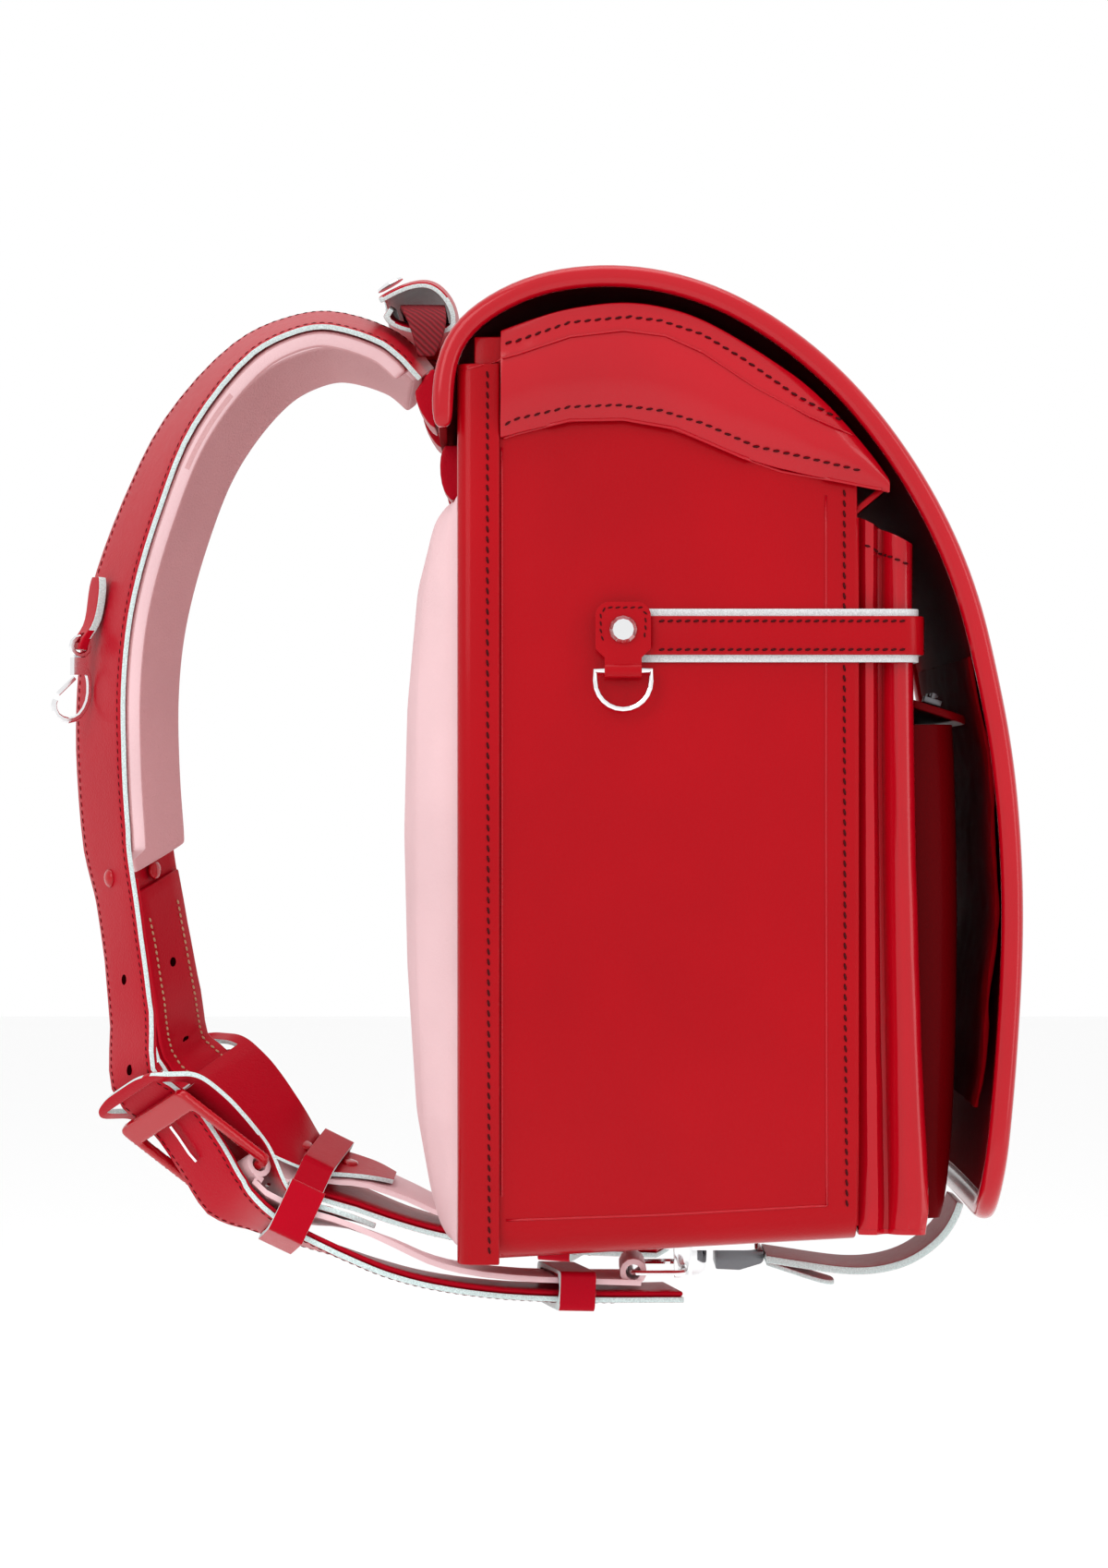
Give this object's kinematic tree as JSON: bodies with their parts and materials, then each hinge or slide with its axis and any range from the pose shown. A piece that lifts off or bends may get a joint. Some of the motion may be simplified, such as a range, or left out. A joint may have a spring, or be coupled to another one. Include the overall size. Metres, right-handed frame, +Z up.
{
  "type": "school ransel",
  "caption": "Stiff leather school satchel worn on the back, with a long flap down the front, padded shoulder straps with buckles, side rings and a snap hook.",
  "frame": {"origin": "crown of the back pad, where the bag rests on the wearer's back, on the bag's middle plane", "axes": "+X away from the wearer towards the flap's front, +Y to the wearer's right, away from the side with the snap hook, +Z up"},
  "size_m": [0.3473, 0.2532, 0.3796],
  "materials": {
    "leather": "satin",
    "leather_deep": "satin",
    "back_lining": "matte",
    "strap_leather": "satin",
    "strap_lining": "matte",
    "reflector": "satin",
    "chrome": "polished",
    "dark_metal": "satin",
    "red_buckle": "gloss",
    "webbing": "matte",
    "pale_tab": "matte"
  },
  "bodies": {
    "root": {"main_gusset": "leather", "front_wall": "leather", "edge_binding_left": "leather", "edge_binding_right": "leather", "top_band_left": "leather", "top_band_right": "leather", "front_pocket": "leather", "side_belt_leather": "leather", "dring_tab_left": "leather", "dring_tab_right": "leather", "flap_panel": "leather", "flap_rim": "leather", "zip_pocket": "leather_deep", "zip_pocket_lid": "leather_deep", "flap_pouch": "leather_deep", "closing_belt": "leather_deep", "back_board": "back_lining", "back_pad": "back_lining", "lower_belt_left": "back_lining", "lower_belt_right": "back_lining", "strap_leather_left": "strap_leather", "strap_leather_right": "strap_leather", "strap_core_left": "strap_leather", "strap_core_right": "strap_leather", "strap_root_left": "strap_leather", "strap_root_right": "strap_leather", "strap_anchor_left": "strap_leather", "strap_anchor_right": "strap_leather", "buckle_guard_left": "strap_leather", "buckle_guard_right": "strap_leather", "keeper_upper_left": "strap_leather", "keeper_upper_right": "strap_leather", "keeper_lower_left": "strap_leather", "keeper_lower_right": "strap_leather", "hook_tab": "strap_leather", "handle_leather": "strap_leather", "strap_pad_left": "strap_lining", "strap_pad_right": "strap_lining", "side_belt_backing": "reflector", "dring_rivet_left": "chrome", "dring_rivet_right": "chrome", "buckle_prong_left": "chrome", "buckle_prong_right": "chrome", "strap_ring_left": "chrome", "strap_ring_right": "chrome", "handle_rivet_left": "chrome", "handle_rivet_right": "chrome", "lock_base": "chrome", "lock_knob": "chrome", "ring_bracket": "chrome", "zip_pull": "dark_metal", "belt_clip": "dark_metal", "buckle_frame_left": "red_buckle", "buckle_frame_right": "red_buckle", "handle_webbing": "webbing", "pull_tab": "pale_tab"},
    "dring_left": {"dring_left": "chrome"},
    "dring_right": {"dring_right": "chrome"},
    "hook": {"snap_hook": "chrome"},
    "gate": {"snap_gate": "chrome"}
  },
  "joints": [
    {"name": "dring_left_swing", "type": "hinge", "parent": "root", "child": "dring_left", "pos_m": [0.078, -0.123, 0.056], "axis": [-1, 0, 0], "range_deg": [-12, 150]},
    {"name": "dring_right_swing", "type": "hinge", "parent": "root", "child": "dring_right", "pos_m": [0.078, 0.123, 0.056], "axis": [1, 0, 0], "range_deg": [-12, 150]},
    {"name": "hook_swing", "type": "hinge", "parent": "root", "child": "hook", "pos_m": [-0.11909, -0.05723, 0.0667], "axis": [-0.4676, 0.8839, 0], "range_deg": [0, 70]},
    {"name": "gate_open", "type": "hinge", "parent": "hook", "child": "gate", "pos_m": [-0.12104, -0.05826, 0.0571], "axis": [0.4676, -0.8839, 0], "range_deg": [0, 22], "stiffness_Nm_per_rad": 0.002, "springref_deg": -11.46}
  ]
}
